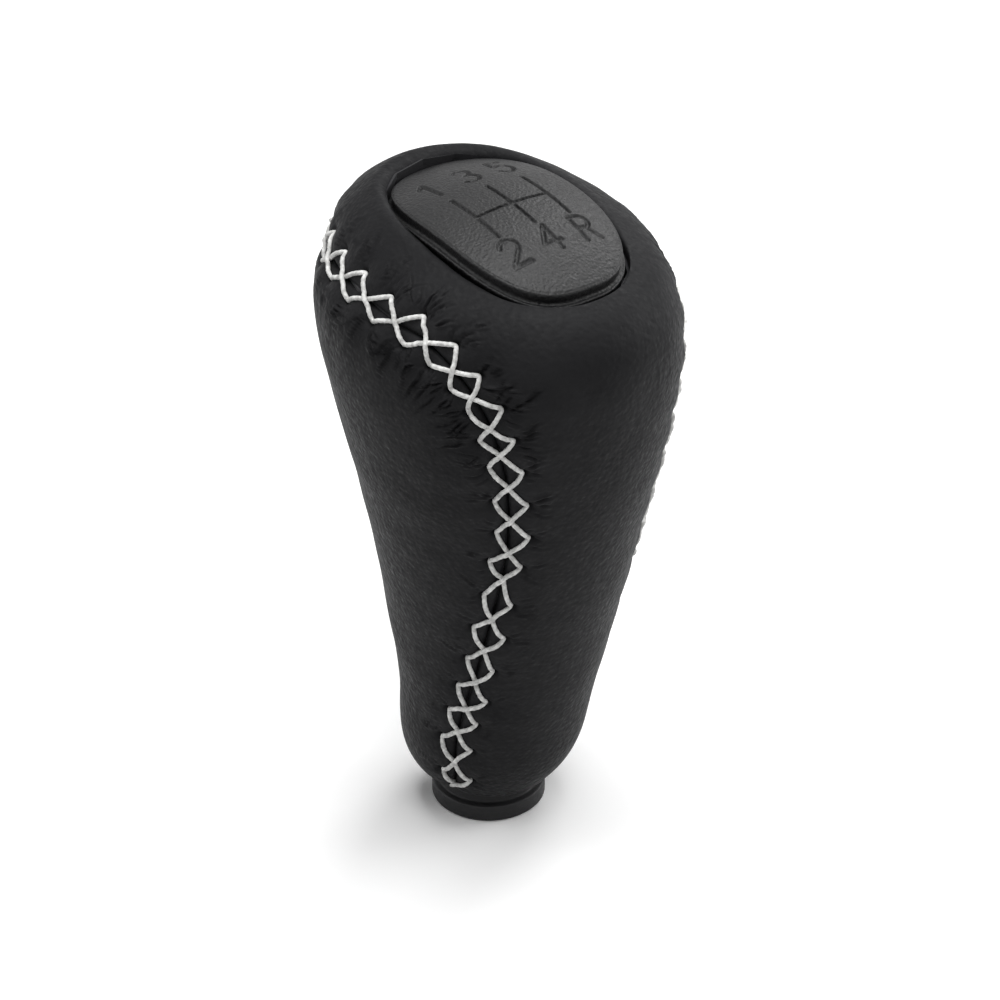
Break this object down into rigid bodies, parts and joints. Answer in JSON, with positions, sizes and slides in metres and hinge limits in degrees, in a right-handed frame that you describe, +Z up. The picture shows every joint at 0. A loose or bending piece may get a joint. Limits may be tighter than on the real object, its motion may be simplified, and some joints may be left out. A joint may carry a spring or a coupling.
{
  "type": "gear knob",
  "caption": "Leather covered pear-shaped gear knob with a criss-cross laced seam, a domed shift pattern cap and a lower collar, screwed onto a gear lever.",
  "frame": {"origin": "centre of the collar's base, on the lever's axis", "axes": "+Z up the lever's axis, +X forward in the car, +Y to the left"},
  "size_m": [0.057, 0.0499, 0.1006],
  "materials": {
    "leather": "black fine-grained leather, semi-matt",
    "core": "moulded core, rough",
    "cap": "dark moulded plastic with a fine grain",
    "collar": "black moulded plastic, satin",
    "insert": "turned steel",
    "thread": "pale twisted sewing thread"
  },
  "bodies": {
    "root": {"crown_back_leather": "leather", "front_wrap_leather": "leather", "knob_core": "core", "shift_pattern_cap": "cap", "lower_collar": "collar", "lever_insert": "insert", "lacing_thread_a": "thread", "lacing_thread_b": "thread"}
  },
  "joints": []
}
